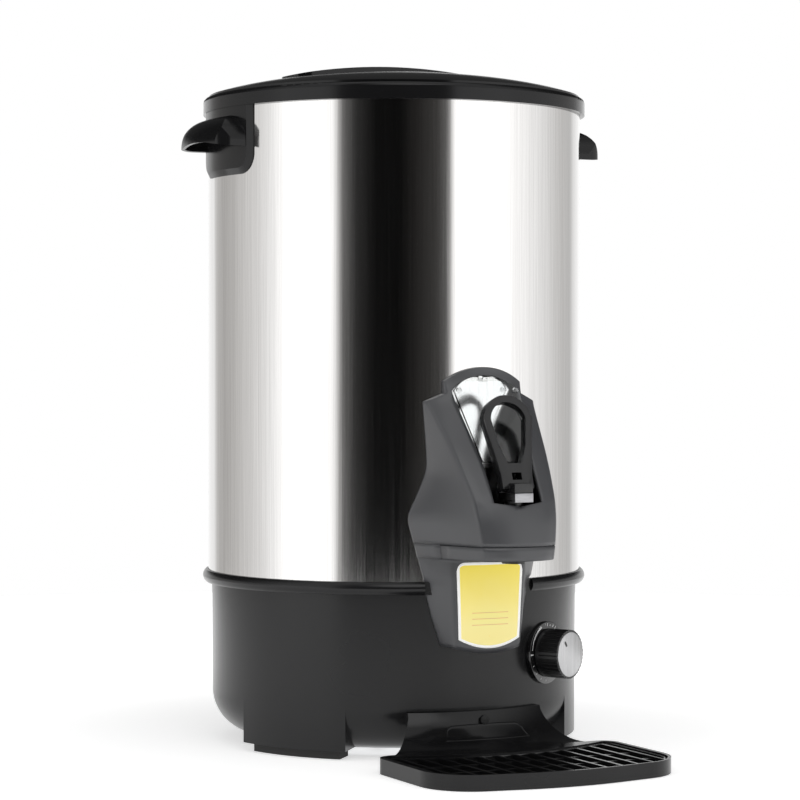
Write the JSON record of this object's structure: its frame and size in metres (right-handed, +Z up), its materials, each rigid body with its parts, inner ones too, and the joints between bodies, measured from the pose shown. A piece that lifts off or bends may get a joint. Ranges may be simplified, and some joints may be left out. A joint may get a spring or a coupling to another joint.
{
  "type": "hot water urn",
  "caption": "Steel hot water urn on a moulded base, with a sprung lever tap, thermostat knob, lift-off lid, side handles and a slide-out drip tray.",
  "frame": {"origin": "on the tank's axis at floor level", "axes": "+Z up, the tap faces -Y, the side handles lie along X"},
  "size_m": [0.3142, 0.4041, 0.4853],
  "materials": {
    "jacket_steel": "vertically brushed stainless",
    "tank_steel": "bright rolled stainless",
    "base_plastic": "satin black moulded, fine texture",
    "plate_steel": "zinc-coated sheet",
    "foot_rubber": "matt black",
    "zinc_steel": "bright zinc",
    "rim_plastic": "satin black moulded",
    "cast_aluminium": "as cast",
    "element_steel": "drawn stainless tube",
    "phenolic": "dark heat-proof moulding",
    "wire_sleeve": "glass-braid sleeve",
    "dial_gloss": "gloss black with a printed scale",
    "pin_brass": "plated brass",
    "tap_plastic": "black heat-proof moulding",
    "silicone": "translucent silicone",
    "bonnet_metal": "bright plated",
    "spring_steel": "stainless wire",
    "cover_plastic": "satin black moulded",
    "clear_plastic": "clear moulded",
    "shield_steel": "bright sheet",
    "label_yellow": "coated film, plain yellow with a white border",
    "lid_gloss": "gloss black moulded",
    "lever_plastic": "black moulded with a polished bevel",
    "knob_plastic": "black, fine ribs",
    "knob_aluminium": "spun-brushed face",
    "tray_gloss": "gloss black moulded",
    "grille_gloss": "gloss black moulded"
  },
  "bodies": {
    "urn": {"outer_jacket": "jacket_steel", "inner_tank": "tank_steel", "tank_floor": "tank_steel", "base_shell": "base_plastic", "bottom_plate": "plate_steel", "foot_pad_left": "foot_rubber", "foot_pad_right": "foot_rubber", "foot_pad_rear": "foot_rubber", "tie_rods": "zinc_steel", "tie_nuts": "zinc_steel", "top_rim": "rim_plastic", "handle_screws": "zinc_steel", "heat_plate": "cast_aluminium", "heating_element": "element_steel", "thermal_cutout": "phenolic", "thermostat": "phenolic", "thermostat_screws": "zinc_steel", "thermostat_sensor": "element_steel", "wire_live": "wire_sleeve", "wire_heater": "wire_sleeve", "wire_neutral": "wire_sleeve", "dial_plate": "dial_gloss", "power_inlet": "phenolic", "inlet_pins": "pin_brass", "inlet_screws": "zinc_steel", "tap_body": "tap_plastic", "spout_nozzle": "tap_plastic", "outer_washer": "silicone", "spacer_bush": "silicone", "inner_washer": "silicone", "shank_nut": "tap_plastic", "bonnet_plate": "bonnet_metal", "valve_spring": "spring_steel", "tap_cover": "cover_plastic", "nose_collar": "cover_plastic", "cover_screws": "zinc_steel", "tap_window": "clear_plastic", "window_shield": "shield_steel", "label_plate": "label_yellow"},
    "lid": {"lid": "lid_gloss", "lid_dish": "lid_gloss", "lid_grip": "lid_gloss", "lid_screws": "zinc_steel", "lid_seal": "silicone"},
    "plunger": {"valve_plunger": "element_steel", "valve_cup": "silicone"},
    "lever": {"lever": "lever_plastic", "lever_pin": "bonnet_metal"},
    "knob": {"knob_body": "knob_plastic", "knob_cap": "knob_aluminium", "thermostat_shaft": "bonnet_metal"},
    "tray": {"tray_body": "tray_gloss", "tray_stud": "tray_gloss"},
    "grille": {"tray_grille": "grille_gloss"}
  },
  "joints": [
    {"name": "lid_lift", "type": "slide", "parent": "urn", "child": "lid", "axis": [0, 0, 1], "range_m": [0, 0.08]},
    {"name": "plunger_lift", "type": "slide", "parent": "urn", "child": "plunger", "axis": [0, 0, 1], "range_m": [0, 0.006], "stiffness_N_per_m": 300, "springref_m": -0.008, "deforming": ["valve_spring"]},
    {"name": "lever_tilt", "type": "hinge", "parent": "plunger", "child": "lever", "pos_m": [0, -0.18, 0.1895], "axis": [1, 0, 0], "range_deg": [0, 24.5]},
    {"name": "knob_turn", "type": "hinge", "parent": "urn", "child": "knob", "pos_m": [0.06583, -0.1292, 0.069], "axis": [0.454, -0.891, 0], "range_deg": [-270, 0]},
    {"name": "tray_slide", "type": "slide", "parent": "urn", "child": "tray", "axis": [0, -1, 0], "range_m": [0, 0.12]},
    {"name": "grille_lift", "type": "slide", "parent": "tray", "child": "grille", "axis": [0, 0, 1], "range_m": [0, 0.05]}
  ],
  "couplings": [
    {"joint": "lever_tilt", "follows": "plunger_lift", "rad_per_m": 71}
  ]
}
